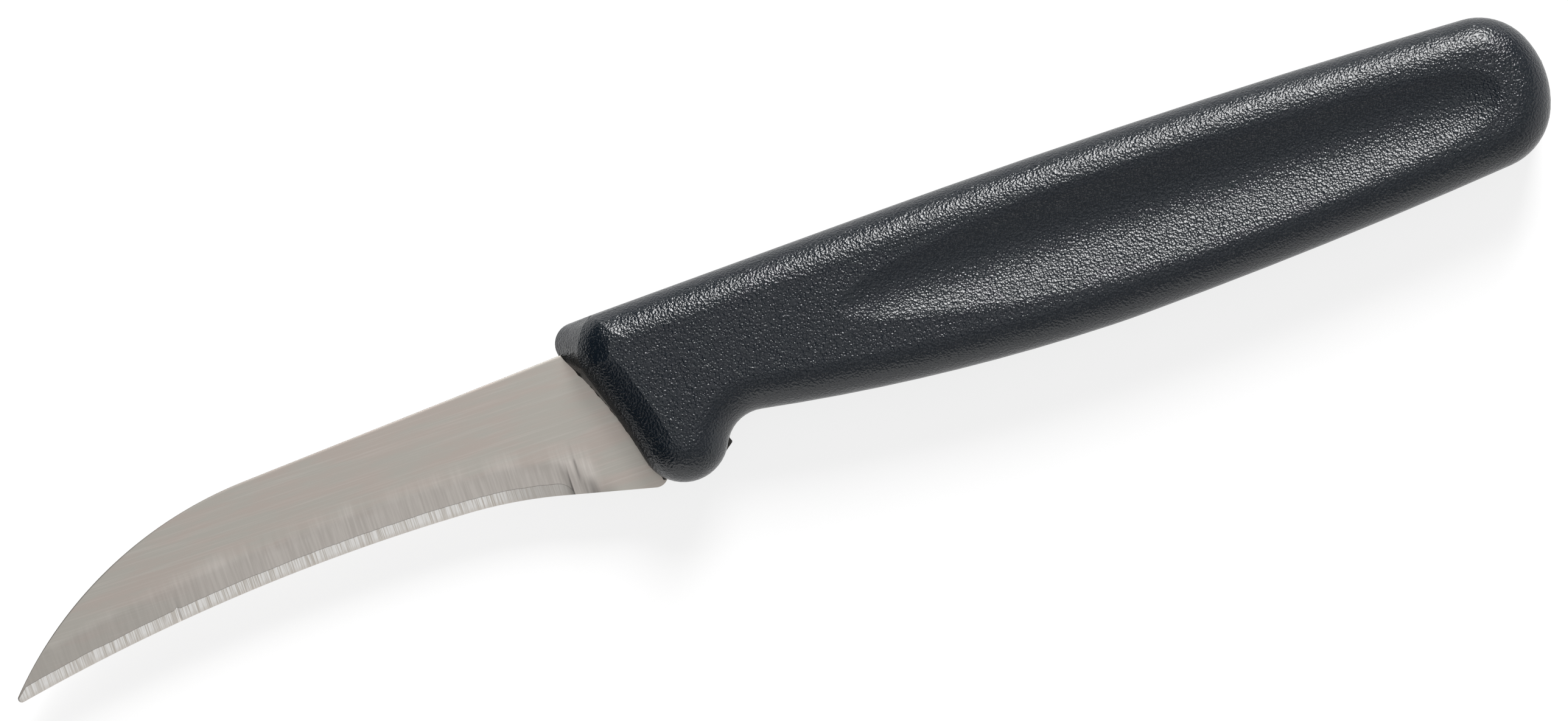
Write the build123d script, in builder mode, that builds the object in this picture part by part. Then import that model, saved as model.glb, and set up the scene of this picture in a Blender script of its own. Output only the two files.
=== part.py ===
from build123d import *
import os
from math import cos, radians, sin, tan

# A turning knife: a small hooked blade with a moulded handle, lying on its side.
# It is drawn from the foremost point of the handle: +X runs to the butt, -X to
# the point, +Y to the back, and Z = 0 is the middle of the steel. A reach is
# measured towards the point, an inset towards the butt, a drop towards the edge.

# Sheet and grinding
steel_thickness = 1.2
edge_thickness = 0.04
bevel_thickness = 0.6
bevel_width = 1.3
grind_width = 3.6
tip_radius = 0.4
heel_radius = 1.3
bevel_end_reach = 2.6
grind_end_inset = 0.3

# Blade outline
blade_reach = 64.9
tip_drop = 11.78
back_height = 5.24
back_angle = 3.55
back_bend_reach = 34.9
edge_middle_reach = 40.0
edge_middle_drop = 8.1
edge_turn_reach = 14.0
edge_turn_drop = 7.33
heel_start_reach = 4.2
heel_start_drop = 8.58
heel_inset = 7.15
heel_drop = 11.25

# Tang, out of sight in the handle
tang_inset = 72.0
tang_front_width = 9.0
tang_rear_width = 6.5
tang_shoulder_inset = 9.0
tang_corner_radius = 2.0
lock_hole_radius = 2.0
lock_hole_spacing = 19.0
lock_hole_count = 3

# Handle outline
handle_length = 106.24
handle_thickness = 13.0
nose_corner_reach = 1.75
nose_corner_height = 7.97
spine_angle = 1.83
spine_straight_inset = 34.0
butt_top_height = 8.98
butt_top_bulge = 3.84
butt_middle_height = 0.85
butt_low_drop = 6.5
butt_low_bulge = 3.6
belly_low_inset = 55.45
belly_drop = 9.59
belly_turn_run = 3.6
belly_turn_rise = 0.062
notch_inset = 17.77
notch_drop = 10.59
notch_radius = 4.14
guard_inset = 9.87
guard_drop = 6.84
guard_front_angle = 192.5

# Rounding of the handle
nose_radius = 2.23
nose_side_radius = 5.0
nose_lean = 3.6
nose_end_inset = 19.0
butt_top_radius = 6.45
butt_low_radius = 6.8
rim_radius = 3.6

# Hollow for thumb and finger in each side: a rounded valley, deepest in the middle
hollow_depth = 1.5
hollow_valley_height = 1.2
hollow_valley_radius = 9.0
hollow_lower_run = 6.2
hollow_start_inset = 16.0
hollow_end_clearance = 3.84
hollow_place_shares = (0, 0.16, 0.3, 0.44, 0.6, 0.76, 0.88, 0.95, 0.985, 1)
hollow_depth_shares = (0, 0.3, 0.75, 1, 1, 0.92, 0.82, 0.62, 0.3, 0)
hollow_lower_shares = (1, 1, 1, 1, 1, 0.94, 0.85, 0.8, 0.78, 0.78)
crest_radius = 2.5

# Gate left on the butt: a flat disc with the broken-off stub on it
gate_height = 2.4
gate_disc_radius = 0.5
gate_stub_radius = 0.18
gate_stub_stand = 0.25

overrun = 2.0

half_steel = steel_thickness / 2
half_handle = handle_thickness / 2
spine_slope = tan(radians(spine_angle))
spine_end_height = nose_corner_height + spine_slope * (spine_straight_inset + nose_corner_reach)
# The hollow reaches up to the rounding of the spine, whose lower end limits it, and
# back to a wall at the butt
hollow_ceiling = min(butt_top_height, spine_end_height) - rim_radius
hollow_upper_run = hollow_ceiling - hollow_valley_height
hollow_end_inset = handle_length - hollow_end_clearance


def heel_height(x):
    """Height of the straight heel of the edge at a place along the knife."""
    fall = (heel_drop - heel_start_drop) / (heel_inset + heel_start_reach)
    return -heel_start_drop - fall * (x + heel_start_reach)


def ground_section(height, width, end_x):
    """Sketches what the grindstone takes at one height over the middle of the steel.

    The region lies below a line that follows the edge at the given width from
    it, and stops at end_x, where the stone was lifted off.
    """
    with BuildSketch(Plane.XY.offset(height)) as section:
        with BuildLine():
            crown = ThreePointArc(
                (-blade_reach, width - tip_drop),
                (-edge_middle_reach, width - edge_middle_drop),
                (-edge_turn_reach, width - edge_turn_drop),
            )
            runout = TangentArc(
                crown @ 1, (-heel_start_reach, width - heel_start_drop), tangent=crown % 1
            )
            lift = Line(runout @ 1, (end_x, heel_height(end_x) + min(width, 0)))
            Polyline(
                lift @ 1,
                (end_x, -tip_drop - 2 * overrun),
                (-blade_reach, -tip_drop - 2 * overrun),
                crown @ 0,
            )
        make_face()
    return section.sketch


# What one side of the blade loses to the stone: the hone bevel, and the wider
# grind above it that thins the steel. Both planes run on past the steel.
with BuildPart() as ground:
    bevel_rise = (bevel_thickness - edge_thickness) / 2 / bevel_width
    grind_rise = (half_steel - bevel_thickness / 2) / (grind_width - bevel_width)
    below = ground_section(edge_thickness / 2 - overrun * bevel_rise, -overrun, -bevel_end_reach)
    shoulder = ground_section(bevel_thickness / 2, bevel_width, -bevel_end_reach)
    above = ground_section(
        half_steel + overrun * grind_rise, grind_width + overrun, grind_end_inset
    )
    loft([below, shoulder, above], ruled=True)

# The blade: one blank with its tang, ground on both sides
with BuildPart() as blade:
    back_slope = tan(radians(back_angle))
    with BuildSketch(Plane.XY.offset(-half_steel)):
        with BuildLine():
            back = Line(
                (tang_shoulder_inset, back_height + back_slope * tang_shoulder_inset),
                (-back_bend_reach, back_height - back_slope * back_bend_reach),
            )
            TangentArc(back @ 1, (-blade_reach, -tip_drop), tangent=back % 1)
            crown = ThreePointArc(
                (-blade_reach, -tip_drop),
                (-edge_middle_reach, -edge_middle_drop),
                (-edge_turn_reach, -edge_turn_drop),
            )
            runout = TangentArc(
                crown @ 1, (-heel_start_reach, -heel_start_drop), tangent=crown % 1
            )
            Polyline(
                runout @ 1,
                (heel_inset, -heel_drop),
                (heel_inset, -tang_front_width / 2),
                (tang_inset, -tang_rear_width / 2),
                (tang_inset, tang_rear_width / 2),
                (tang_shoulder_inset, tang_front_width / 2),
                back @ 0,
            )
        make_face()
        fillet(vertices().sort_by(Axis.X)[0], tip_radius)
        fillet(vertices().sort_by_distance((heel_inset, -heel_drop))[0], heel_radius)
        fillet(vertices().group_by(Axis.X)[-1], tang_corner_radius)
    extrude(amount=steel_thickness)
    add(ground.part, mode=Mode.SUBTRACT)
    mirror(ground.part, about=Plane.XY, mode=Mode.SUBTRACT)
    # Holes that the plastic runs through and locks in
    with Locations((tang_inset / 2 + tang_shoulder_inset / 2, 0, 0)):
        with GridLocations(lock_hole_spacing, 0, lock_hole_count, 1):
            Hole(lock_hole_radius)

blade.part.label = "blade"


def handle_outline(height, corner_radius, lean):
    """Sketches the handle's outline at a height over the middle of the steel.

    The front runs from the guard up to the corner under the spine, and lean is
    how far that corner has moved along the spine towards the butt.
    """
    notch = Vector(notch_inset, -notch_drop)
    guard = Vector(guard_inset, -guard_drop)
    guard_radius = (notch - guard).length - notch_radius
    # The belly's front arc is level at its lowest place and touches the notch
    run = belly_low_inset - notch_inset
    rise = notch_drop - belly_drop
    belly_radius = (run**2 + rise**2 - notch_radius**2) / (2 * (notch_radius - rise))
    belly_centre = Vector(belly_low_inset, belly_radius - belly_drop)
    guard_end = guard + (notch - guard).normalized() * guard_radius
    notch_end = notch + (belly_centre - notch).normalized() * notch_radius
    front_angle = radians(guard_front_angle)
    guard_start = guard + Vector(cos(front_angle), sin(front_angle)) * guard_radius
    nose_corner = (lean - nose_corner_reach, nose_corner_height + spine_slope * lean)
    spine_end = (spine_straight_inset, spine_end_height)
    butt_top = (handle_length - butt_top_bulge, butt_top_height)
    butt_low = (handle_length - butt_low_bulge, -butt_low_drop)
    belly_low = (belly_low_inset, -belly_drop)
    belly_turned = (belly_low_inset + belly_turn_run, belly_turn_rise - belly_drop)
    with BuildSketch(Plane.XY.offset(height)) as section:
        with BuildLine():
            straight = Line(nose_corner, spine_end)
            TangentArc(straight @ 1, butt_top, tangent=straight % 1)
            ThreePointArc(butt_top, (handle_length, butt_middle_height), butt_low)
            turn = TangentArc(belly_low, belly_turned, tangent=(1, 0))
            TangentArc(turn @ 1, butt_low, tangent=turn % 1)
            belly = TangentArc(belly_low, notch_end, tangent=(-1, 0))
            hook = TangentArc(belly @ 1, guard_end, tangent=belly % 1)
            lobe = TangentArc(hook @ 1, guard_start, tangent=hook % 1)
            TangentArc(lobe @ 1, nose_corner, tangent=lobe % 1)
        make_face()
        fillet(vertices().sort_by_distance(nose_corner)[0], corner_radius)
        fillet(vertices().sort_by_distance(butt_top)[0], butt_top_radius)
        fillet(vertices().sort_by_distance(butt_low)[0], butt_low_radius)
    return section.sketch


def valley_section(x, depth, lower_run):
    """Sketches the hollow across the knife at x: two walls and the rounded valley between.

    The walls keep their slopes, so a shallower valley is a narrower one.
    """
    reach = 1 + overrun / hollow_depth
    floor = half_handle - depth
    with BuildSketch(Plane.YZ.offset(x)) as section:
        with BuildLine():
            Polyline(
                (hollow_valley_height, floor),
                (hollow_valley_height + reach * hollow_upper_run, floor + reach * hollow_depth),
                (hollow_valley_height - reach * lower_run, floor + reach * hollow_depth),
                close=True,
            )
        make_face()
        fillet(vertices().sort_by(Axis.Y)[0], hollow_valley_radius)
    return section.sketch


# What the mould's core leaves out of one side: a valley that fades out slowly
# towards the blade and quickly at the butt
with BuildPart() as hollow:
    loft(
        [
            valley_section(
                hollow_start_inset + place * (hollow_end_inset - hollow_start_inset),
                depth * hollow_depth,
                lower * hollow_lower_run,
            )
            for place, depth, lower in zip(
                hollow_place_shares, hollow_depth_shares, hollow_lower_shares
            )
        ]
    )

# The nose, which leans back from the parting line up to the flat side
with BuildPart() as nose:
    middle = handle_outline(0, nose_radius, 0)
    side = handle_outline(half_handle, nose_side_radius, nose_lean)
    loft([middle, side], ruled=True)
    split(bisect_by=Plane.YZ.offset(nose_end_inset), keep=Keep.BOTTOM)

# The handle: two mould halves that meet on the parting line
with BuildPart() as handle:
    add(handle_outline(0, nose_radius, 0))
    extrude(amount=half_handle)
    split(bisect_by=Plane.YZ.offset(nose_end_inset))
    add(nose.part)
    fillet(faces().sort_by(Axis.Z)[-1].edges(), rim_radius)
    add(hollow.part, mode=Mode.SUBTRACT)
    crest = faces().filter_by(Axis.Z).sort_by(Axis.Z)[-1].inner_wires()[0].edges()
    fillet(crest, crest_radius)
    mirror(about=Plane.XY)
    # The steel's own place in the plastic, tang holes filled
    add(blade.part, mode=Mode.SUBTRACT)
    with Locations(Plane((handle_length, gate_height, 0), z_dir=(1, 0, 0))):
        Cylinder(gate_disc_radius, overrun, align=(Align.CENTER, Align.CENTER, Align.MAX))
        Cylinder(
            gate_stub_radius, gate_stub_stand, align=(Align.CENTER, Align.CENTER, Align.MIN)
        )

handle.part.label = "handle"

# The knife lies on the middle of what it covers
extent = Compound([blade.part, handle.part]).bounding_box()
resting_place = Location((-extent.center().X, -extent.center().Y, half_handle))

os.makedirs("parts", exist_ok=True)
for piece in (blade.part, handle.part):
    piece.move(resting_place)
    export_step(piece, f"parts/{piece.label}.step")
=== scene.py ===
"""Looks of a small turning knife: ground steel blade, over-moulded plastic handle.

Lengths on the knife are written in millimetres on its drawing, which starts at the
foremost point of the handle's front: x runs to the butt, y to the back and z is
zero in the middle of the steel. Blender's own lengths are in metres.
"""

import logging
import math
from dataclasses import dataclass, field
from enum import Enum
from functools import partial
from typing import Mapping, Sequence

import bmesh
import bpy
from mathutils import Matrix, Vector, noise
from mathutils.bvhtree import BVHTree
from mathutils.geometry import tessellate_polygon

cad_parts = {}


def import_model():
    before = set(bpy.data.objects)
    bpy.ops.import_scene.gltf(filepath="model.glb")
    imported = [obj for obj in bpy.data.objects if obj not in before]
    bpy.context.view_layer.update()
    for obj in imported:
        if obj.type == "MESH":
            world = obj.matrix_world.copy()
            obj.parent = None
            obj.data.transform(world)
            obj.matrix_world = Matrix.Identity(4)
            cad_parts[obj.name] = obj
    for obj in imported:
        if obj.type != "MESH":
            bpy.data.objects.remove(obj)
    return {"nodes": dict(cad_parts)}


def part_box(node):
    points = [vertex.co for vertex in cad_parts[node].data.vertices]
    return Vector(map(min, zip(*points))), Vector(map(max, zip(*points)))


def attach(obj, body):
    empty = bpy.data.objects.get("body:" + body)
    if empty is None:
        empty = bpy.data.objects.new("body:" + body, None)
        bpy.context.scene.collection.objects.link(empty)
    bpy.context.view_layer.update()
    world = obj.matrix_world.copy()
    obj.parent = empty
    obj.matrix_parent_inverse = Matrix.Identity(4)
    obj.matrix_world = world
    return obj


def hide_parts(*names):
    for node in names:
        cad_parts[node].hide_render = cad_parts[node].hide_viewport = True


LOG = logging.getLogger("turning_knife")
MM = 0.001
Colour = tuple[float, float, float, float]
# On the drawing: the end of the gate's stub, and the guard's lowest point below the start
HANDLE_LENGTH = 106.49
GUARD_DROP = 11.445
# Half of the sheet's thickness
HALF_STEEL = 0.6
# The row of the blade's mesh that runs along the hone bevel's shoulder
SHOULDER_ROW = 5


class Slot(Enum):
    """The record's material slots."""

    STEEL = "blade_steel"
    PLASTIC = "handle_plastic"


class Side(Enum):
    """The knife's two sides: which way each one looks along z."""

    UPPER = 1
    LOWER = -1


class Mark(Enum):
    """What the blade's mesh says about each of its points, for the steel's material."""

    BEVEL = "bevel"
    BELT = "belt"
    SHOULDER = "shoulder"
    SHEARED_AND_EDGE_SHADE = "sheared_and_edge_shade"
    WORN = "worn"
    RUNOUT = "runout"
    GOUGE = "gouge"


@dataclass(frozen=True)
class KnifeFrame:
    """Where the drawing's start lies in the shared frame, in metres."""

    start: Vector

    @classmethod
    def from_handle(cls, length: float, drop: float) -> "KnifeFrame":
        """Finds the start from the handle's solid.

        Args:
            length: from the start to the end of the gate's stub, in millimetres.
            drop: from the start down to the guard's lowest point, in millimetres.

        Returns:
            The frame of the drawing.
        """
        low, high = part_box("handle")
        middle = (low[2] + high[2]) / 2
        return cls(Vector((high[0] - length * MM, low[1] + drop * MM, middle)))

    def at(self, x: float, y: float, z: float = 0.0) -> Vector:
        """Gives the place of a drawing point in the shared frame."""
        return self.start + Vector((x, y, z)) * MM

    def back(self, place: Vector) -> Vector:
        """Gives the drawing point of a place in the shared frame."""
        return (place - self.start) / MM


def linear(colour: str) -> Colour:
    """Turns an sRGB hex colour into Blender's linear one.

    Args:
        colour: six hex digits after a hash sign.

    Returns:
        Red, green, blue and an alpha of 1.
    """
    shares = [int(colour[i : i + 2], 16) / 255 for i in (1, 3, 5)]
    values = [c / 12.92 if c <= 0.04045 else ((c + 0.055) / 1.055) ** 2.4 for c in shares]
    return (values[0], values[1], values[2], 1.0)


def add_node(
    tree: bpy.types.NodeTree,
    kind: str,
    inputs: Mapping[str | int, object] | None = None,
    **settings: object,
) -> bpy.types.Node:
    """Adds a node with its settings and links.

    Args:
        tree: the node tree that gets the node.
        kind: Blender's name for the node.
        inputs: what each input gets, by name or number: a value, or a socket to link.
        settings: the node's own properties.

    Returns:
        The new node.
    """
    node = tree.nodes.new(kind)
    for name, value in settings.items():
        setattr(node, name, value)
    for name, value in (inputs or {}).items():
        if isinstance(value, bpy.types.NodeSocket):
            tree.links.new(value, node.inputs[name])
        else:
            node.inputs[name].default_value = value
    return node


def start_material(name: str) -> tuple[bpy.types.Material, bpy.types.NodeTree, bpy.types.Node]:
    """Makes a material and gives it with its node tree and its shader."""
    material = bpy.data.materials.new(name)
    material.use_nodes = True
    return material, material.node_tree, material.node_tree.nodes["Principled BSDF"]


def mottle(
    tree: bpy.types.NodeTree, place: bpy.types.NodeSocket, size: float, detail: float
) -> bpy.types.Node:
    """Adds a noise whose spots have a size in millimetres."""
    return add_node(
        tree, "ShaderNodeTexNoise", {"Vector": place, "Scale": 1 / (size * MM), "Detail": detail}
    )


def blend(
    tree: bpy.types.NodeTree,
    share: bpy.types.NodeSocket,
    first: bpy.types.NodeSocket | Colour,
    second: bpy.types.NodeSocket | Colour,
) -> bpy.types.NodeSocket:
    """Blends two colours: the first at a share of 0, the second at 1."""
    return add_node(
        tree, "ShaderNodeMix", {0: share, 6: first, 7: second}, data_type="RGBA"
    ).outputs[2]


def product(
    tree: bpy.types.NodeTree,
    first: bpy.types.NodeSocket,
    second: bpy.types.NodeSocket | float,
) -> bpy.types.NodeSocket:
    """Multiplies two shares and keeps the result between 0 and 1."""
    return add_node(
        tree, "ShaderNodeMath", {0: first, 1: second}, operation="MULTIPLY", use_clamp=True
    ).outputs[0]


def smooth_step(low: float, high: float, value: float) -> float:
    """Rises smoothly from 0 at low to 1 at high."""
    share = min(max((value - low) / (high - low), 0.0), 1.0)
    return share * share * (3 - 2 * share)


def hump(place: float, middle: float, width: float) -> float:
    """Gives a smooth hump that is 1 at its middle."""
    return math.exp(-(((place - middle) / width) ** 2))


def ripple(place: float, wavelength: float, seed: float) -> float:
    """Gives a smooth irregular wave of about 1 each way along a line."""
    return noise.noise(Vector((place / wavelength, seed, 0.5)))


@dataclass(frozen=True)
class GroundSteel:
    """Martensitic stainless sheet, rolled, belt-ground near the edge and honed.

    The rolled flat is a soft warm grey with faint lines along the blade. The belt
    left streaks across it near the edge, and the hone a bright coarse bevel.
    """

    name: str = "martensitic_stainless_ground"
    flat_warm: str = "#afa69f"
    flat_cool: str = "#aca8a1"
    belt_dark: str = "#b8b2ac"
    belt_pale: str = "#c5bfb9"
    hone_dark: str = "#cdc6bd"
    hone_pale: str = "#faf8f5"
    hone_worn: str = "#dbd3ca"
    hone_runout: str = "#c0bbb5"
    # The back's rounded edge: the sheared steel's own duller grey, darkened further as painted
    # shade for a dark outline along the back
    sheared_and_edge_shade: str = "#6f6a65"
    shoulder_line: str = "#5a5652"
    gouge: str = "#6a6663"
    roughness_flat: float = 0.36
    roughness_hone: float = 0.42
    # Widths and lengths of the marks on the steel, in millimetres
    roll_line: float = 0.16
    roll_length: float = 9.0
    belt_line: float = 0.24
    hone_line: float = 0.12
    band_width: float = 0.72
    band_length: float = 10.0
    mark_length: float = 5.0
    stain_length: float = 6.0
    stain_width: float = 1.1
    hone_depth: float = 0.0012

    def make(self) -> bpy.types.Material:
        """Builds the steel's material.

        Returns:
            The material, which reads the marks that the blade's mesh carries.
        """
        material, tree, shader = start_material(self.name)
        mixed, times = partial(blend, tree), partial(product, tree)
        place = add_node(tree, "ShaderNodeTexCoord").outputs["Object"]
        marks = {
            mark: add_node(
                tree, "ShaderNodeAttribute", attribute_name=mark.value
            ).outputs["Fac"]
            for mark in Mark
        }

        def streaks(along: float, across: float, detail: float) -> bpy.types.NodeSocket:
            """Gives a noise of marks of a length along the blade and a width across it."""
            scale = (1 / (along * MM), 1 / (across * MM), 1 / (self.mark_length * MM))
            stretched = add_node(
                tree, "ShaderNodeVectorMath", {0: place, 1: scale}, operation="MULTIPLY"
            )
            return add_node(
                tree,
                "ShaderNodeTexNoise",
                {"Vector": stretched.outputs[0], "Scale": 1.0, "Detail": detail},
            ).outputs["Fac"]

        def spread(value: bpy.types.NodeSocket, low: float, high: float) -> bpy.types.NodeSocket:
            """Stretches a noise's middle range to 0 and 1."""
            return add_node(
                tree, "ShaderNodeMapRange", {"Value": value, "From Min": low, "From Max": high}
            ).outputs[0]

        rolled = streaks(self.roll_length, self.roll_line, 3.0)
        stains = streaks(self.stain_length, self.stain_width, 2.0)
        belt = streaks(self.belt_line, self.mark_length, 3.0)
        hone = streaks(self.hone_line, self.mark_length, 4.0)
        bands = streaks(self.band_width, self.band_length, 2.0)

        # Rolled flat: slow warm and cool tints, with faint lines along the blade
        flat = mixed(spread(stains, 0.4, 0.62), linear(self.flat_cool), linear(self.flat_warm))
        flat = mixed(times(spread(rolled, 0.5, 0.75), 0.25), flat, linear(self.belt_pale))
        # Belt grind: streaks across the blade
        ground = mixed(spread(belt, 0.36, 0.62), linear(self.belt_dark), linear(self.belt_pale))
        colour = mixed(marks[Mark.BELT], flat, ground)
        # Hone bevel: white with brown-grey lines, duller at the worn edge and the runout
        tone = times(spread(hone, 0.34, 0.56), spread(bands, 0.2, 0.42))
        honed = mixed(tone, linear(self.hone_dark), linear(self.hone_pale))
        honed = mixed(times(marks[Mark.WORN], 0.6), honed, linear(self.hone_worn))
        honed = mixed(times(marks[Mark.RUNOUT], 0.75), honed, linear(self.hone_runout))
        colour = mixed(marks[Mark.BEVEL], colour, honed)
        # A darker colour drawn as a thin line along the bevel's shoulder
        colour = mixed(times(marks[Mark.SHOULDER], 0.75), colour, linear(self.shoulder_line))
        colour = mixed(marks[Mark.GOUGE], colour, linear(self.gouge))
        # The back's rounded edge: sheared steel's grey with painted shade, a dark outline along
        # the back
        colour = mixed(marks[Mark.SHEARED_AND_EDGE_SHADE], colour, linear(self.sheared_and_edge_shade))

        # The scratches' depth: deepest on the bevel, slight on the belt grind
        depth = add_node(
            tree,
            "ShaderNodeMath",
            {0: marks[Mark.BELT], 1: 0.4, 2: marks[Mark.BEVEL]},
            operation="MULTIPLY_ADD",
            use_clamp=True,
        ).outputs[0]
        bump = add_node(
            tree,
            "ShaderNodeBump",
            {"Strength": depth, "Distance": self.hone_depth * MM, "Height": hone},
        )
        roughness = add_node(
            tree,
            "ShaderNodeMapRange",
            {
                "Value": marks[Mark.BEVEL],
                "To Min": self.roughness_flat,
                "To Max": self.roughness_hone,
            },
        )
        tree.links.new(colour, shader.inputs["Base Color"])
        tree.links.new(roughness.outputs[0], shader.inputs["Roughness"])
        tree.links.new(bump.outputs[0], shader.inputs["Normal"])
        shader.inputs["Metallic"].default_value = 1.0
        return material


@dataclass(frozen=True)
class MouldedPlastic:
    """Black polypropylene, injection moulded against a spark-eroded tool.

    The tool's worm-like grain, cells of a quarter of a millimetre, breaks every
    highlight into fine sparkles on a near-black, slightly blue ground.
    """

    name: str = "polypropylene_moulded_grain"
    body: str = "#050c14"
    worn: str = "#0a1117"
    speck: str = "#8d8a84"
    roughness: float = 0.25
    refraction: float = 1.49
    # The grain: its cells, the waves that bend them and the finer pits, in millimetres
    grain_size: float = 0.25
    grain_depth: float = 0.06
    bend_size: float = 0.35
    fine_size: float = 0.14
    fine_share: float = 0.35
    wall_softness: float = 0.25
    speck_spacing: float = 9.0
    speck_size: float = 0.09
    handled_size: float = 12.0

    def make(self) -> bpy.types.Material:
        """Builds the plastic's material.

        Returns:
            The material with its grain and specks.
        """
        material, tree, shader = start_material(self.name)
        place = add_node(tree, "ShaderNodeTexCoord").outputs["Object"]
        # The cells' walls are bent, so that they join into short worms
        bend = mottle(tree, place, self.bend_size, 1.0)
        shift = add_node(
            tree,
            "ShaderNodeVectorMath",
            {0: bend.outputs["Color"], 1: (0.5, 0.5, 0.5)},
            operation="SUBTRACT",
        )
        bent = add_node(
            tree,
            "ShaderNodeVectorMath",
            {0: shift.outputs[0], 1: (self.grain_size * MM,) * 3, 2: place},
            operation="MULTIPLY_ADD",
        )
        cells = add_node(
            tree,
            "ShaderNodeTexVoronoi",
            {
                "Vector": bent.outputs[0],
                "Scale": 1 / (self.grain_size * MM),
                "Smoothness": self.wall_softness,
            },
            feature="SMOOTH_F1",
        )
        fine = mottle(tree, place, self.fine_size, 1.0)
        height = add_node(
            tree,
            "ShaderNodeMath",
            {0: fine.outputs["Fac"], 1: self.fine_share, 2: cells.outputs["Distance"]},
            operation="MULTIPLY_ADD",
        )
        bump = add_node(
            tree,
            "ShaderNodeBump",
            {
                "Strength": 1.0,
                "Distance": self.grain_depth * MM,
                "Height": height.outputs[0],
            },
        )
        # A few pale specks of dust and scuffed cells
        dust = add_node(
            tree,
            "ShaderNodeTexVoronoi",
            {"Vector": place, "Scale": 1 / (self.speck_spacing * MM)},
        )
        speck = add_node(
            tree,
            "ShaderNodeMapRange",
            {
                "Value": dust.outputs["Distance"],
                "From Min": self.speck_size / self.speck_spacing,
                "From Max": 0.4 * self.speck_size / self.speck_spacing,
            },
        )
        handled = mottle(tree, place, self.handled_size, 3.0).outputs["Fac"]
        colour = blend(tree, handled, linear(self.body), linear(self.worn))
        colour = blend(tree, speck.outputs[0], colour, linear(self.speck))
        tree.links.new(colour, shader.inputs["Base Color"])
        tree.links.new(bump.outputs[0], shader.inputs["Normal"])
        shader.inputs["Roughness"].default_value = self.roughness
        shader.inputs["IOR"].default_value = self.refraction
        return material


@dataclass(frozen=True)
class FlashPlastic:
    """The same polypropylene where it crept out of the tool as a thin smooth skin.

    It reads as a dark, ragged, slightly brown line between the handle and the steel.
    """

    name: str = "polypropylene_flash"
    body: str = "#14140f"
    edge: str = "#3a3026"
    roughness: float = 0.3
    refraction: float = 1.49
    wave_size: float = 0.3
    wave_depth: float = 0.02

    def make(self) -> bpy.types.Material:
        """Builds the skin's material.

        Returns:
            The material.
        """
        material, tree, shader = start_material(self.name)
        place = add_node(tree, "ShaderNodeTexCoord").outputs["Object"]
        waves = mottle(tree, place, self.wave_size, 2.0).outputs["Fac"]
        share = add_node(
            tree, "ShaderNodeMapRange", {"Value": waves, "From Min": 0.45, "From Max": 0.7}
        )
        colour = blend(tree, share.outputs[0], linear(self.body), linear(self.edge))
        bump = add_node(
            tree,
            "ShaderNodeBump",
            {"Strength": 1.0, "Distance": self.wave_depth * MM, "Height": waves},
        )
        tree.links.new(colour, shader.inputs["Base Color"])
        tree.links.new(bump.outputs[0], shader.inputs["Normal"])
        shader.inputs["Roughness"].default_value = self.roughness
        shader.inputs["IOR"].default_value = self.refraction
        return material


@dataclass(frozen=True)
class Arc:
    """An arc that stands higher than the middle of its circle."""

    x: float
    y: float
    radius: float

    @classmethod
    def through(cls, a: Vector, b: Vector, c: Vector) -> "Arc":
        """Finds the arc through three points."""
        d = 2 * (a.x * (b.y - c.y) + b.x * (c.y - a.y) + c.x * (a.y - b.y))
        squares = [p.length_squared for p in (a, b, c)]
        x = (
            squares[0] * (b.y - c.y) + squares[1] * (c.y - a.y) + squares[2] * (a.y - b.y)
        ) / d
        y = (
            squares[0] * (c.x - b.x) + squares[1] * (a.x - c.x) + squares[2] * (b.x - a.x)
        ) / d
        return cls(x, y, (a - Vector((x, y))).length)

    @classmethod
    def touching(cls, start: Vector, slope: float, end: Vector) -> "Arc":
        """Finds the arc that leaves start at a slope and passes through end."""
        normal = Vector((slope, -1)).normalized()
        chord = end - start
        radius = chord.length_squared / (2 * normal.dot(chord))
        middle = start + normal * radius
        return cls(middle.x, middle.y, radius)

    def height(self, x: float) -> float:
        """Gives the arc's y at an x."""
        return self.y + math.sqrt(self.radius**2 - (x - self.x) ** 2)

    def slope(self, x: float) -> float:
        """Gives the arc's slope at an x."""
        return (self.x - x) / math.sqrt(self.radius**2 - (x - self.x) ** 2)


def new_piece(
    name: str,
    mesh: bpy.types.Mesh,
    material: bpy.types.Material,
) -> bpy.types.Object:
    """Makes a mesh a piece of the knife.

    Args:
        name: the piece's name.
        mesh: its mesh, in the shared frame.
        material: its finish.

    Returns:
        The piece, riding on the knife's one body.
    """
    mesh.materials.append(material)
    piece = bpy.data.objects.new(name, mesh)
    bpy.context.scene.collection.objects.link(piece)
    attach(piece, "root")
    LOG.info("%s: %d faces", name, len(mesh.polygons))
    return piece


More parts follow.
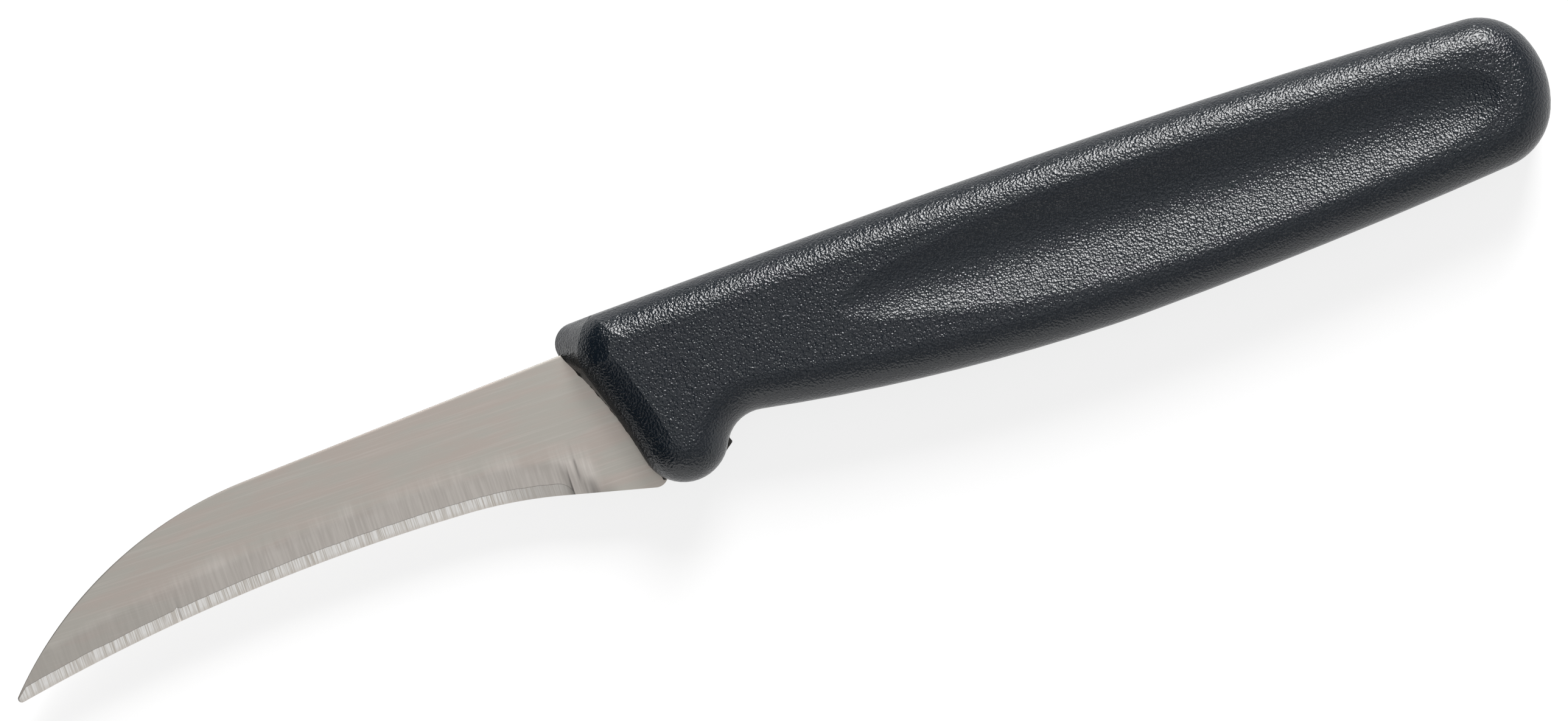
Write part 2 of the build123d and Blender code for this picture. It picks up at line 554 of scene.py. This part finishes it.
@dataclass
class Blade:
    """The blade: one blank of sheet steel, ground on both sides, with its tang.

    Sizes are in millimetres on the knife's drawing.
    """

    frame: KnifeFrame
    # Half of the thickness at the edge and at the bevel's shoulder, and the ground widths
    half_edge: float = 0.02
    half_bevel: float = 0.3
    bevel_width: float = 1.3
    belt_width: float = 3.6
    # The outline: its points, the back's line and bend, and the rounded corners
    tip: Vector = field(default_factory=lambda: Vector((-64.9, -11.78)))
    edge_middle: Vector = field(default_factory=lambda: Vector((-40.0, -8.1)))
    edge_turn: Vector = field(default_factory=lambda: Vector((-14.0, -7.33)))
    heel_start: Vector = field(default_factory=lambda: Vector((-4.2, -8.58)))
    heel: Vector = field(default_factory=lambda: Vector((7.15, -11.25)))
    back_height: float = 5.24
    back_angle: float = 3.55
    back_bend: float = -34.9
    tip_radius: float = 0.4
    heel_radius: float = 1.3
    back_rounding: float = 0.08
    # Where the bevel and the belt grind run out, and the waves and the nick of the shoulder
    bevel_end: float = -2.7
    belt_end: float = 1.8
    shoulder_wave: float = 0.05
    dent_place: float = -45.6
    dent_height: float = 0.22
    dent_width: float = 0.22
    dent_reach: float = 0.8
    # Where the belt's streaks end over the edge, and the gouge in them near the runout
    streak_top: float = 3.5
    gouge_place: float = -1.7
    gouge_width: float = 0.13
    # The mesh: its step, its finest stretch round the bevel's runout, the rounded tip's
    # stretch, the rows beside the shoulder and the row past the belt grind
    step: float = 0.22
    fine_start: float = -4.6
    fine_end: float = 0.6
    tip_reach: float = 1.2
    shoulder_half: float = 0.04
    belt_margin: float = 0.3
    # The tang: its corners, its foot at the heel, its rounding and its lock holes
    tang: Sequence[tuple[float, float]] = ((9.0, 4.5), (72.0, 3.25), (72.0, -3.25))
    tang_root: float = -4.5
    tang_corner: float = 2.0
    hole_radius: float = 2.0
    hole_places: Sequence[float] = (21.5, 40.5, 59.5)
    hole_sides: int = 24

    def __post_init__(self) -> None:
        """Works out the outline's arcs and its rounded corners."""
        self.crown = Arc.through(self.tip, self.edge_middle, self.edge_turn)
        turn_slope = self.crown.slope(self.edge_turn.x)
        self.runout = Arc.touching(self.edge_turn, turn_slope, self.heel_start)
        self.back_slope = math.tan(math.radians(self.back_angle))
        bend = Vector((self.back_bend, self.back_height + self.back_slope * self.back_bend))
        self.sweep = Arc.touching(bend, self.back_slope, self.tip)
        self.heel_slope = (self.heel.y - self.heel_start.y) / (self.heel.x - self.heel_start.x)
        # The tip's circle touches the crown from outside and the sweep from inside
        inner, outer = self.sweep.radius - self.tip_radius, self.crown.radius + self.tip_radius
        gap = Vector((self.crown.x - self.sweep.x, self.crown.y - self.sweep.y))
        run = (inner**2 - outer**2 + gap.length_squared) / (2 * gap.length)
        rise = math.sqrt(inner**2 - run**2)
        across = Vector((-gap.y, gap.x)).normalized()
        foot = Vector((self.sweep.x, self.sweep.y)) + gap.normalized() * run
        self.tip_middle = min(
            (foot + across * rise, foot - across * rise), key=lambda p: (p - self.tip).length
        )
        fall = self.tip_middle - Vector((self.crown.x, self.crown.y))
        lift = self.tip_middle - Vector((self.sweep.x, self.sweep.y))
        self.tip_low = self.crown.x + fall.x * self.crown.radius / fall.length
        self.tip_high = self.sweep.x + lift.x * self.sweep.radius / lift.length
        # The heel's circle touches the straight edge and the upright end
        tilt = math.atan(self.heel_slope)
        x = self.heel.x - self.heel_radius
        y = self.straight_edge(x) + self.heel_radius / math.cos(tilt)
        self.heel_middle = Vector((x, y))
        self.heel_low = x + self.heel_radius * math.sin(tilt)

    def straight_edge(self, x: float) -> float:
        """Gives the height of the straight heel of the edge."""
        return self.heel_start.y + self.heel_slope * (x - self.heel_start.x)

    def edge(self, x: float) -> float:
        """Gives the height of the blade's lower outline at an x."""
        if x < self.tip_low:
            reach = max(self.tip_radius**2 - (x - self.tip_middle.x) ** 2, 0.0)
            return self.tip_middle.y - math.sqrt(reach)
        if x < self.edge_turn.x:
            return self.crown.height(x)
        if x < self.heel_start.x:
            return self.runout.height(x)
        if x < self.heel_low:
            return self.straight_edge(x)
        reach = max(self.heel_radius**2 - (x - self.heel_middle.x) ** 2, 0.0)
        return self.heel_middle.y - math.sqrt(reach)

    def back(self, x: float) -> float:
        """Gives the height of the blade's upper outline at an x."""
        if x < self.tip_high:
            reach = max(self.tip_radius**2 - (x - self.tip_middle.x) ** 2, 0.0)
            return self.tip_middle.y + math.sqrt(reach)
        if x < self.back_bend:
            return self.sweep.height(x)
        return self.back_height + self.back_slope * x

    def shoulder(self, x: float, side: Side) -> float:
        """Gives the hone bevel's width at an x, with its waves, its dent and its round end."""
        start = self.heel_start.x
        if x >= self.bevel_end:
            return 0.0
        share = max(x - start, 0.0) / (self.bevel_end - start)
        round_end = math.sqrt(1 - share**2)
        wave = ripple(x, 1.7, side.value * 3.1) + 0.6 * ripple(x, 0.6, side.value * 7.7)
        width = self.bevel_width + self.shoulder_wave * wave
        if side is Side.UPPER:
            width += self.dent_height * hump(x, self.dent_place, self.dent_width)
        return width * round_end

    def half_thickness(self, x: float, height: float, side: Side) -> float:
        """Gives half the steel's thickness at a height over the edge."""
        bevel = self.shoulder(x, side)
        if height < bevel:
            rise = (self.half_bevel - self.half_edge) / self.bevel_width
            return max(self.half_bevel - (bevel - height) * rise, self.half_edge)
        lifted = smooth_step(self.bevel_end, self.belt_end, x)
        foot = self.half_bevel + (HALF_STEEL - self.half_bevel) * lifted
        fade = smooth_step(self.heel_start.x, self.belt_end, x)
        belt = max(self.belt_width * (1 - fade) - bevel, 0.01)
        share = min((height - bevel) / belt, 1.0)
        return foot + (HALF_STEEL - foot) * share

    def stations(self) -> list[float]:
        """Lists the mesh's places along the blade, closer together where it turns."""
        tip = self.tip_middle.x - self.tip_radius
        quarter = math.pi / 2
        places = [tip + self.tip_reach * (1 - math.cos(quarter * i / 10)) for i in range(10)]
        dent_start, dent_end = self.dent_place - self.dent_reach, self.dent_place + self.dent_reach
        for start, end, step in (
            (tip + self.tip_reach, dent_start, self.step),
            (dent_start, dent_end, 0.08),
            (dent_end, self.fine_start, self.step),
            (self.fine_start, self.bevel_end, 0.07),
            (self.bevel_end, self.fine_end, 0.1),
            (self.fine_end, self.heel_low, 0.4),
        ):
            count = max(round((end - start) / step), 1)
            places += [start + (end - start) * i / count for i in range(count)]
        width = self.heel.x - self.heel_low
        places += [self.heel_low + width * math.sin(quarter * i / 12) for i in range(13)]
        return places

    def rows(self, x: float, side: Side) -> list[tuple[float, float]]:
        """Lists the mesh's points up one side at an x.

        Args:
            x: the place along the blade.
            side: the blade's side.

        Returns:
            Height over the edge and half thickness of each point, from edge to back.
        """
        width = self.back(x) - self.edge(x)
        bevel, line = self.shoulder(x, side), self.shoulder_half
        heights = [bevel * share for share in (0.0, 0.15, 0.4, 0.7)]
        heights += [max(bevel - line, 0.0), bevel, bevel + line]
        flat_start = self.belt_width + self.belt_margin
        heights += [
            bevel + line + (flat_start - bevel - line) * share
            for share in (0.25, 0.5, 0.75, 0.9, 1.0)
        ]
        top = max(width - self.back_rounding - line, 0.0)
        heights += [
            flat_start + (max(top, flat_start) - flat_start) * share
            for share in (0.2, 0.4, 0.6, 0.8, 1.0)
        ]
        heights.append(max(heights[-1], width - self.back_rounding))
        count = len(heights) - 1
        corner = min(self.back_rounding, width / 4)
        reach = width - corner
        points = []
        for i, height in enumerate(heights):
            # At the narrow tip the rows crowd below the back, in their order
            cap = reach * (0.7 + 0.3 * i / count)
            height = min(height, cap)
            points.append((height, self.half_thickness(x, height, side)))
        end = self.half_thickness(x, width, side)
        corner = min(corner, end / 2)
        points.append((width - 0.3 * corner, end - 0.3 * corner))
        points.append((width, end - corner))
        return points

    def marks(
        self, x: float, height: float, row: int, count: int, side: Side
    ) -> dict[Mark, float]:
        """Says what the grinding left at one point of the mesh, where a darker line runs along the
        bevel's shoulder, and where shade is painted on the back's rounded edge.

        Args:
            x: the place along the blade.
            height: the point's height over the edge.
            row: the point's row, counted from the edge.
            count: how many rows there are.
            side: the blade's side.

        Returns:
            The strength of each mark, from 0 to 1.
        """
        honed = 1.0 if x < self.bevel_end else 0.0
        # The belt's streaks end in a ragged line, stop at the heel and thin out ahead
        top = self.streak_top + 0.5 * ripple(x, 3.0, 1.0) + 0.4 * ripple(x, 0.5, 2.0)
        belt = 1 - smooth_step(top - 0.5, top + 0.9, height)
        belt *= 1 - smooth_step(-0.8, 0.8, x)
        belt *= 0.35 + 0.65 * smooth_step(-52.0, -36.0, x)
        # The upper side alone has one gouge, and a scuffed patch behind it at the edge
        gouge = hump(x, self.gouge_place, self.gouge_width) * smooth_step(1.6, 2.2, height)
        gouge *= 1 - smooth_step(3.4, 4.2, height)
        patch = smooth_step(-1.6, -1.4, x) * (1 - smooth_step(-0.2, 0.0, x))
        patch *= (1 - smooth_step(0.9, 1.2, height)) * (0.5 + 0.5 * ripple(x, 0.2, 5.0))
        return {
            Mark.BEVEL: honed * min(max((SHOULDER_ROW + 1 - row) / 2, 0.0), 1.0),
            Mark.BELT: belt,
            Mark.SHOULDER: honed if row == SHOULDER_ROW else 0.0,
            # The back's last two rows: sheared steel with painted shade along the rounded edge
            Mark.SHEARED_AND_EDGE_SHADE: 1.0 if row == count - 1 else 0.4 if row == count - 2 else 0.0,
            Mark.WORN: 1 - smooth_step(0.0, 0.55, height),
            Mark.RUNOUT: smooth_step(-12.0, -6.0, x),
            Mark.GOUGE: 0.7 * max(gouge, 0.8 * patch) if side is Side.UPPER else 0.0,
        }

    def build(self, finish: bpy.types.Material) -> bpy.types.Object:
        """Builds the blade in place of its solid.

        Args:
            finish: the steel's material.

        Returns:
            The blade.
        """
        mesh_data = bmesh.new()
        layers = {mark: mesh_data.verts.layers.float.new(mark.value) for mark in Mark}
        grid: dict[Side, list[list[bmesh.types.BMVert]]] = {Side.UPPER: [], Side.LOWER: []}
        for x in self.stations():
            low = self.edge(x)
            for side in Side:
                column = []
                points = self.rows(x, side)
                for row, (height, half) in enumerate(points):
                    vert = mesh_data.verts.new(
                        self.frame.at(x, low + height, half * side.value)
                    )
                    marks = self.marks(x, height, row, len(points), side)
                    for mark, strength in marks.items():
                        vert[layers[mark]] = strength
                    column.append(vert)
                grid[side].append(column)

        def face(*corners: bmesh.types.BMVert) -> None:
            """Adds one face."""
            mesh_data.faces.new(corners)

        upper, lower = grid[Side.UPPER], grid[Side.LOWER]
        for i in range(len(upper) - 1):
            for row in range(len(upper[i]) - 1):
                face(upper[i][row], upper[i + 1][row], upper[i + 1][row + 1], upper[i][row + 1])
                face(lower[i][row + 1], lower[i + 1][row + 1], lower[i + 1][row], lower[i][row])
            face(upper[i][0], lower[i][0], lower[i + 1][0], upper[i + 1][0])
            face(upper[i][-1], upper[i + 1][-1], lower[i + 1][-1], lower[i][-1])
        # The tip's upright line, and the heel's end below the tang
        for row in range(len(upper[0]) - 1):
            face(upper[0][row + 1], lower[0][row + 1], lower[0][row], upper[0][row])
        end_y = [self.frame.back(vert.co).y for vert in upper[-1]]
        root = min(range(len(end_y)), key=lambda i: abs(end_y[i] - self.tang_root))
        for row in range(root):
            face(upper[-1][row], lower[-1][row], lower[-1][row + 1], upper[-1][row + 1])
        self.add_tang(mesh_data, upper[-1][root:], lower[-1][root:])
        bmesh.ops.remove_doubles(mesh_data, verts=mesh_data.verts[:], dist=0.0004 * MM)
        bmesh.ops.recalc_face_normals(mesh_data, faces=mesh_data.faces[:])
        mesh = bpy.data.meshes.new("blade_blank")
        mesh_data.to_mesh(mesh)
        mesh_data.free()
        mesh.shade_smooth()
        mesh.set_sharp_from_angle(angle=math.radians(32))
        piece = new_piece("blade_blank", mesh, finish)
        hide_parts("blade")
        return piece

    def tang_outline(self) -> list[Vector]:
        """Lists the tang's outline from the back's end round to the heel, corners rounded."""
        start, inset = self.tang[0], self.tang_corner
        points = [Vector((start[0], self.back(start[0]))), Vector(start)]
        for x, y in self.tang[1:]:
            way = 1 if y > 0 else -1
            for i in range(7):
                angle = math.pi / 2 * i / 6
                turn = angle if way > 0 else math.pi / 2 - angle
                across = x - inset + inset * math.sin(turn)
                points.append(Vector((across, y - way * inset + way * inset * math.cos(turn))))
        return points

    def add_tang(
        self,
        mesh_data: bmesh.types.BMesh,
        upper_end: Sequence[bmesh.types.BMVert],
        lower_end: Sequence[bmesh.types.BMVert],
    ) -> None:
        """Adds the tang with its lock holes to the blade's end.

        Args:
            mesh_data: the blade's mesh.
            upper_end: the upper side's last column, from the tang's root to the back.
            lower_end: the same on the lower side.
        """
        outline = self.tang_outline()
        angles = [2 * math.pi * i / self.hole_sides for i in range(self.hole_sides)]
        circle = [(self.hole_radius * math.cos(a), self.hole_radius * math.sin(a)) for a in angles]

        def spot(x: float, y: float, z: float) -> bmesh.types.BMVert:
            """Adds a point of the drawing to the mesh."""
            return mesh_data.verts.new(self.frame.at(x, y, z))

        rings = {}
        for side, end in ((Side.UPPER, upper_end), (Side.LOWER, lower_end)):
            z = HALF_STEEL * side.value
            loops = [list(end) + [spot(p.x, p.y, z) for p in outline]]
            loops += [[spot(place + x, y, z) for x, y in circle] for place in self.hole_places]
            rings[side] = loops
            flat = [
                [Vector((vert.co.x / MM, vert.co.y / MM, 0)) for vert in loop] for loop in loops
            ]
            verts = [vert for loop in loops for vert in loop]
            for corners in tessellate_polygon(flat):
                mesh_data.faces.new([verts[i] for i in corners])
        for number, (top, bottom) in enumerate(zip(rings[Side.UPPER], rings[Side.LOWER])):
            first = len(upper_end) - 1 if number == 0 else 0
            for i in range(first, len(top)):
                j = (i + 1) % len(top)
                mesh_data.faces.new((top[i], top[j], bottom[j], bottom[i]))


@dataclass
class Handle:
    """The handle: one shot of plastic round the tang, and what flashed out of its tool.

    Sizes are in millimetres on the knife's drawing.
    """

    frame: KnifeFrame
    solid: bpy.types.Object
    seam_top: float = 5.22
    seam_bottom: float = -10.3
    seam_steps: int = 150
    before_front: float = -20.0
    # The nubs of the skin: each one's place up the seam, its width and how far it stands out
    nubs: Sequence[tuple[float, float, float]] = (
        (2.75, 0.35, 0.9),
        (0.15, 0.3, 0.8),
        (-10.18, 0.14, 2.4),
    )
    skin_width: float = 0.1
    skin_thickness: float = 0.1
    shred_thickness: float = 0.16
    shred: Sequence[tuple[float, float]] = (
        (13.2, -9.72),
        (13.5, -9.62),
        (13.9, -9.3),
        (14.43, -8.9),
        (14.51, -8.78),
        (14.5, -8.66),
        (14.42, -8.5),
        (14.36, -8.3),
        (14.44, -8.12),
        (14.3, -7.9),
        (13.5, -8.2),
        (13.0, -9.0),
    )

    def __post_init__(self) -> None:
        """Reads the solid's surface, for finding where a straight line meets it."""
        mesh = self.solid.data
        self.surface = BVHTree.FromPolygons(
            [vert.co.copy() for vert in mesh.vertices],
            [tuple(polygon.vertices) for polygon in mesh.polygons],
        )

    def dress(self, finish: bpy.types.Material) -> None:
        """Gives the handle's solid its plastic."""
        self.solid.material_slots[0].material = finish
        LOG.info("%s: %s", self.solid.name, finish.name)

    def front(self, y: float, z: float) -> float:
        """Finds where the handle's front begins at a height and a depth."""
        start = self.frame.at(self.before_front, y, z)
        hit = self.surface.ray_cast(start, Vector((1, 0, 0)))[0]
        return self.frame.back(hit).x

    def skin(self, side: Side, finish: bpy.types.Material) -> bpy.types.Object:
        """Builds the thin skin of plastic that crept over the steel along the seam.

        Args:
            side: the blade's side.
            finish: the skin's material.

        Returns:
            The skin.
        """
        mesh_data = bmesh.new()
        count = self.seam_steps
        z = HALF_STEEL + 0.01
        span = self.seam_top - self.seam_bottom
        seam = []
        for i in range(count + 1):
            y = self.seam_top - span * i / count
            seam.append(Vector((self.front(y, z * side.value), y)))
        columns = []
        for i, point in enumerate(seam):
            ahead, behind = seam[min(i + 1, count)], seam[max(i - 1, 0)]
            run = (ahead - behind).normalized()
            out = Vector((run.y, -run.x))
            if out.x > 0:
                out = -out
            way = side.value * 4.0
            wave = 0.45 * ripple(point.y, 0.9, way) + 0.4 * ripple(point.y, 0.25, way + 1)
            bumps = sum(rise * hump(point.y, y, wide) for y, wide, rise in self.nubs)
            width = self.skin_width * max(0.35 + wave + bumps, 0.12)
            # From under the handle, over the skin's rounded back, down to the steel
            profile = (
                (-0.35, self.skin_thickness * 1.5),
                (0.0, self.skin_thickness),
                (0.45 * width, self.skin_thickness * 0.8),
                (0.85 * width, self.skin_thickness * 0.45),
                (width, 0.012),
                (width, -0.03),
                (-0.35, -0.03),
            )
            column = []
            for reach, rise in profile:
                spot = point + out * reach
                height = (HALF_STEEL + rise) * side.value
                column.append(mesh_data.verts.new(self.frame.at(spot.x, spot.y, height)))
            columns.append(column)
        rows = len(columns[0])
        for first, second in zip(columns, columns[1:]):
            for row in range(rows):
                after = (row + 1) % rows
                mesh_data.faces.new((first[row], first[after], second[after], second[row]))
        mesh_data.faces.new(columns[0])
        mesh_data.faces.new(columns[-1])
        return self.finish_skin(mesh_data, f"flash_skin_{side.name.lower()}", finish)

    def shred_piece(self, finish: bpy.types.Material) -> bpy.types.Object:
        """Builds the shred of plastic left on the parting line behind the guard."""
        mesh_data = bmesh.new()
        half = self.shred_thickness / 2
        levels = ((-half, 0.03), (-half * 0.4, 0.0), (half * 0.4, 0.0), (half, 0.03))
        middle = sum((Vector(p) for p in self.shred), Vector((0, 0))) / len(self.shred)
        rings = []
        for z, inset in levels:
            ring = []
            for point in self.shred:
                spot = Vector(point)
                spot += (middle - spot).normalized() * inset
                ring.append(mesh_data.verts.new(self.frame.at(spot.x, spot.y, z)))
            rings.append(ring)
        count = len(self.shred)
        for below, above in zip(rings, rings[1:]):
            for i in range(count):
                j = (i + 1) % count
                mesh_data.faces.new((below[i], below[j], above[j], above[i]))
        mesh_data.faces.new(rings[0])
        mesh_data.faces.new(rings[-1])
        return self.finish_skin(mesh_data, "parting_line_shred", finish)

    def finish_skin(
        self, mesh_data: bmesh.types.BMesh, name: str, finish: bpy.types.Material
    ) -> bpy.types.Object:
        """Turns a flash mesh into a piece."""
        bmesh.ops.recalc_face_normals(mesh_data, faces=mesh_data.faces[:])
        mesh = bpy.data.meshes.new(name)
        mesh_data.to_mesh(mesh)
        mesh_data.free()
        mesh.shade_smooth()
        mesh.set_sharp_from_angle(angle=math.radians(50))
        return new_piece(name, mesh, finish)


@dataclass
class Studio:
    """A plain pale floor, soft light from all round and the photograph's camera.

    Lengths are in metres in the shared frame.
    """

    # The photograph's frame lies turned on the knife's drawing
    turn: float = 18.2
    aim: tuple[float, float] = (0.00106, -0.00154)
    aim_height: float = 0.0065
    distance: float = 0.8
    sensor: float = 36.0
    frame_width: float = 0.16253
    floor_size: float = 4.0
    floor_glow: float = 0.78
    key_turn: float = -6.0
    key_height: float = 39.0
    key_size: tuple[float, float] = (0.4, 0.62)
    key_reach: float = 1.0
    key_strength: float = 25.0
    # Soft patches of light all round: each one's turn and height, the degrees from its
    # middle where it starts and ends to fade, and its level
    base_level: float = 0.3
    patches: Sequence[tuple[float, float, float, float, float]] = (
        (0.0, 90.0, 4.0, 34.0, 1.0),
        (180.0, 5.0, 15.0, 45.0, 1.6),
        (-100.0, 8.0, 15.0, 45.0, 1.2),
        (90.0, 20.0, 38.0, 60.0, 0.03),
    )

    def camera(self) -> bpy.types.Object:
        """Makes the camera: square over the knife's side, with a long lens."""
        data = bpy.data.cameras.new("camera")
        data.sensor_width = self.sensor
        data.lens = self.sensor * self.distance / self.frame_width
        data.clip_start, data.clip_end = 0.01, 50.0
        camera = bpy.data.objects.new("camera", data)
        camera.location = (*self.aim, self.aim_height + self.distance)
        camera.rotation_euler = (0.0, 0.0, -math.radians(self.turn))
        bpy.context.scene.collection.objects.link(camera)
        bpy.context.scene.camera = camera
        return camera

    def floor(self) -> bpy.types.Object:
        """Makes the white floor that the knife lies on."""
        material, tree, shader = start_material("studio_paper")
        shader.inputs["Base Color"].default_value = linear("#f6f6f6")
        shader.inputs["Roughness"].default_value = 0.9
        shader.inputs["Specular IOR Level"].default_value = 0.0
        # To the eye and in reflections the paper is mostly its own white, so shadows stay faint
        rays = add_node(tree, "ShaderNodeLightPath").outputs
        seen = rays["Is Camera Ray"]
        for kind in ("Is Glossy Ray", "Is Transmission Ray"):
            seen = add_node(
                tree, "ShaderNodeMath", {0: seen, 1: rays[kind]}, operation="MAXIMUM"
            ).outputs[0]
        share = product(tree, seen, self.floor_glow)
        white = add_node(tree, "ShaderNodeEmission", {"Color": linear("#ffffff")})
        mixed = add_node(
            tree, "ShaderNodeMixShader", {0: share, 1: shader.outputs[0], 2: white.outputs[0]}
        )
        output = tree.nodes["Material Output"]
        tree.links.new(mixed.outputs[0], output.inputs["Surface"])
        mesh_data = bmesh.new()
        bmesh.ops.create_circle(
            mesh_data, cap_ends=True, segments=64, radius=self.floor_size
        )
        mesh = bpy.data.meshes.new("floor")
        mesh_data.to_mesh(mesh)
        mesh_data.free()
        mesh.materials.append(material)
        floor = bpy.data.objects.new("floor", mesh)
        bpy.context.scene.collection.objects.link(floor)
        return floor

    def direction(self, turn: float, height: float) -> Vector:
        """Gives a direction seen from the knife.

        Args:
            turn: degrees round from the photograph's upper side, towards its left.
            height: degrees over the floor.

        Returns:
            A vector of length 1.
        """
        angle = math.radians(90 - self.turn + turn)
        rise = math.radians(height)
        flat = math.cos(rise)
        return Vector((math.cos(angle) * flat, math.sin(angle) * flat, math.sin(rise)))

    def key(self) -> bpy.types.Object:
        """Makes the one soft lamp, over the photograph's upper side, facing the knife."""
        data = bpy.data.lights.new("key", "AREA")
        data.shape = "RECTANGLE"
        data.size, data.size_y = self.key_size
        # A strength of 1 is as bright as plain white
        data.energy = self.key_strength * math.pi * self.key_size[0] * self.key_size[1]
        lamp = bpy.data.objects.new("key", data)
        way = self.direction(self.key_turn, self.key_height)
        lamp.location = way * self.key_reach
        lamp.rotation_mode = "QUATERNION"
        lamp.rotation_quaternion = way.to_track_quat("Z", "Y")
        lamp.visible_camera = False
        bpy.context.scene.collection.objects.link(lamp)
        return lamp

    def surroundings(self) -> None:
        """Makes the soft light all round: paler towards the edge's side, darker ahead."""
        world = bpy.data.worlds.new("studio")
        world.use_nodes = True
        bpy.context.scene.world = world
        tree = world.node_tree
        way = add_node(tree, "ShaderNodeTexCoord").outputs["Generated"]
        light = self.base_level
        for turn, height, near, far, level in self.patches:
            facing = add_node(
                tree,
                "ShaderNodeVectorMath",
                {0: way, 1: self.direction(turn, height)},
                operation="DOT_PRODUCT",
            )
            share = add_node(
                tree,
                "ShaderNodeMapRange",
                {
                    "Value": facing.outputs["Value"],
                    "From Min": math.cos(math.radians(far)),
                    "From Max": math.cos(math.radians(near)),
                },
                interpolation_type="SMOOTHSTEP",
            )
            light = add_node(
                tree, "ShaderNodeMix", {0: share.outputs[0], 2: light, 3: level}
            ).outputs[0]
        background = tree.nodes["Background"]
        tree.links.new(light, background.inputs["Color"])
        background.inputs["Strength"].default_value = 1.0

    def build(self) -> None:
        """Sets up the whole studio."""
        self.camera()
        self.floor()
        self.surroundings()
        self.key()
        LOG.info("studio ready")


def main() -> None:
    """Builds the knife and its studio."""
    logging.basicConfig(level=logging.INFO, format="%(name)s: %(message)s")
    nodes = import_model()["nodes"]
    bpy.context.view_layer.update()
    bpy.context.scene.view_settings.view_transform = "Standard"
    frame = KnifeFrame.from_handle(HANDLE_LENGTH, GUARD_DROP)

    steel = GroundSteel().make()
    plastic = MouldedPlastic().make()
    flash = FlashPlastic().make()
    Blade(frame).build(steel)
    handle = Handle(frame, nodes["handle"])
    handle.dress(plastic)
    for side in Side:
        handle.skin(side, flash)
    handle.shred_piece(flash)
    Studio().build()


if __name__ == "__main__":
    main()
